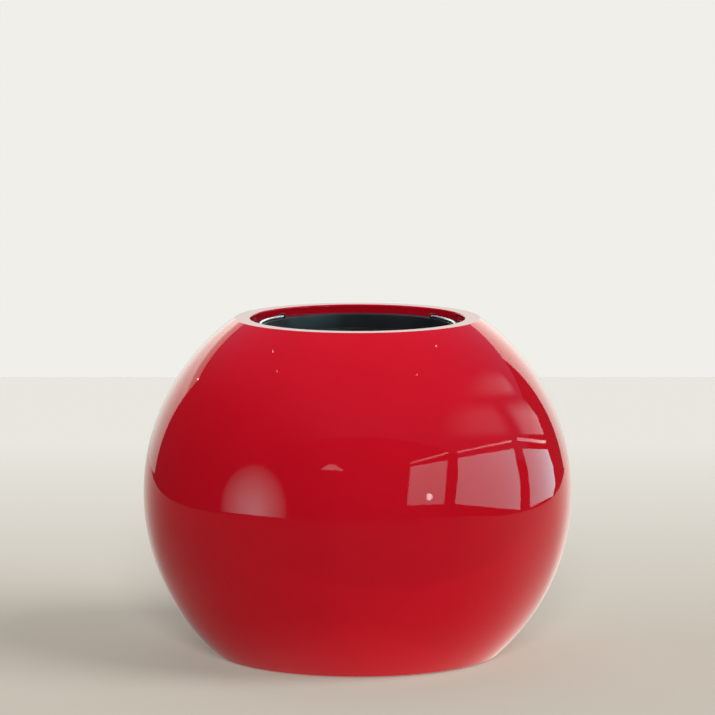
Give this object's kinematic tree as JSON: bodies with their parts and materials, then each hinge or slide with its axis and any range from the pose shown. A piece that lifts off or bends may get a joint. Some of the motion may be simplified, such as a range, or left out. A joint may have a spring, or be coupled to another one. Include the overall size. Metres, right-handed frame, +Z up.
{
  "type": "sphere planter",
  "caption": "Gloss red ball-shaped floor planter with a flat turned-in rim, a lift-out liner with swing-up handles, a plugged drain and low rubber feet.",
  "frame": {"origin": "on the ground under the middle of the ball, at the underside of the feet", "axes": "+Z up through the mouth, +X towards one lifting handle"},
  "size_m": [0.76, 0.7598, 0.6003],
  "materials": {
    "shell": "fibreglass shell with high-gloss red lacquer",
    "collar": "fibreglass collar in the shell's red lacquer",
    "laminate": "bare glass-fibre laminate",
    "seal_rubber": "soft matt rubber",
    "board": "sealed birch plywood",
    "foot_rubber": "firm matt rubber",
    "screw_steel": "zinc-plated steel",
    "drain_plastic": "moulded black polypropylene",
    "stopper_rubber": "grey rubber",
    "ring_steel": "bright steel wire",
    "liner": "moulded black polypropylene with a fine texture",
    "clip_plastic": "moulded black nylon",
    "wire_steel": "galvanised steel wire"
  },
  "bodies": {
    "planter": {"upper_shell": "shell", "lower_shell": "shell", "joint_band": "laminate", "rim_collar": "collar", "seat_gasket": "seal_rubber", "base_board": "board", "foot_pads": "foot_rubber", "foot_screws": "screw_steel", "drain_bush": "drain_plastic", "drain_washer": "seal_rubber", "drain_nut": "drain_plastic"},
    "liner": {"liner_pot": "liner", "handle_clips": "clip_plastic"},
    "right_handle": {"handle_right": "wire_steel"},
    "left_handle": {"handle_left": "wire_steel"},
    "stopper": {"drain_stopper": "stopper_rubber", "stopper_ring": "ring_steel"}
  },
  "joints": [
    {"name": "liner_lift", "type": "slide", "parent": "planter", "child": "liner", "axis": [0, 0, 1], "range_m": [0, 0.4]},
    {"name": "right_handle_swing", "type": "hinge", "parent": "liner", "child": "right_handle", "pos_m": [0.13384, 0, 0.58825], "axis": [0, -1, 0], "range_deg": [0, 180]},
    {"name": "left_handle_swing", "type": "hinge", "parent": "liner", "child": "left_handle", "pos_m": [-0.13384, 0, 0.58825], "axis": [0, 1, 0], "range_deg": [0, 180]},
    {"name": "stopper_lift", "type": "slide", "parent": "planter", "child": "stopper", "axis": [0, 0, 1], "range_m": [0, 0.06]}
  ]
}
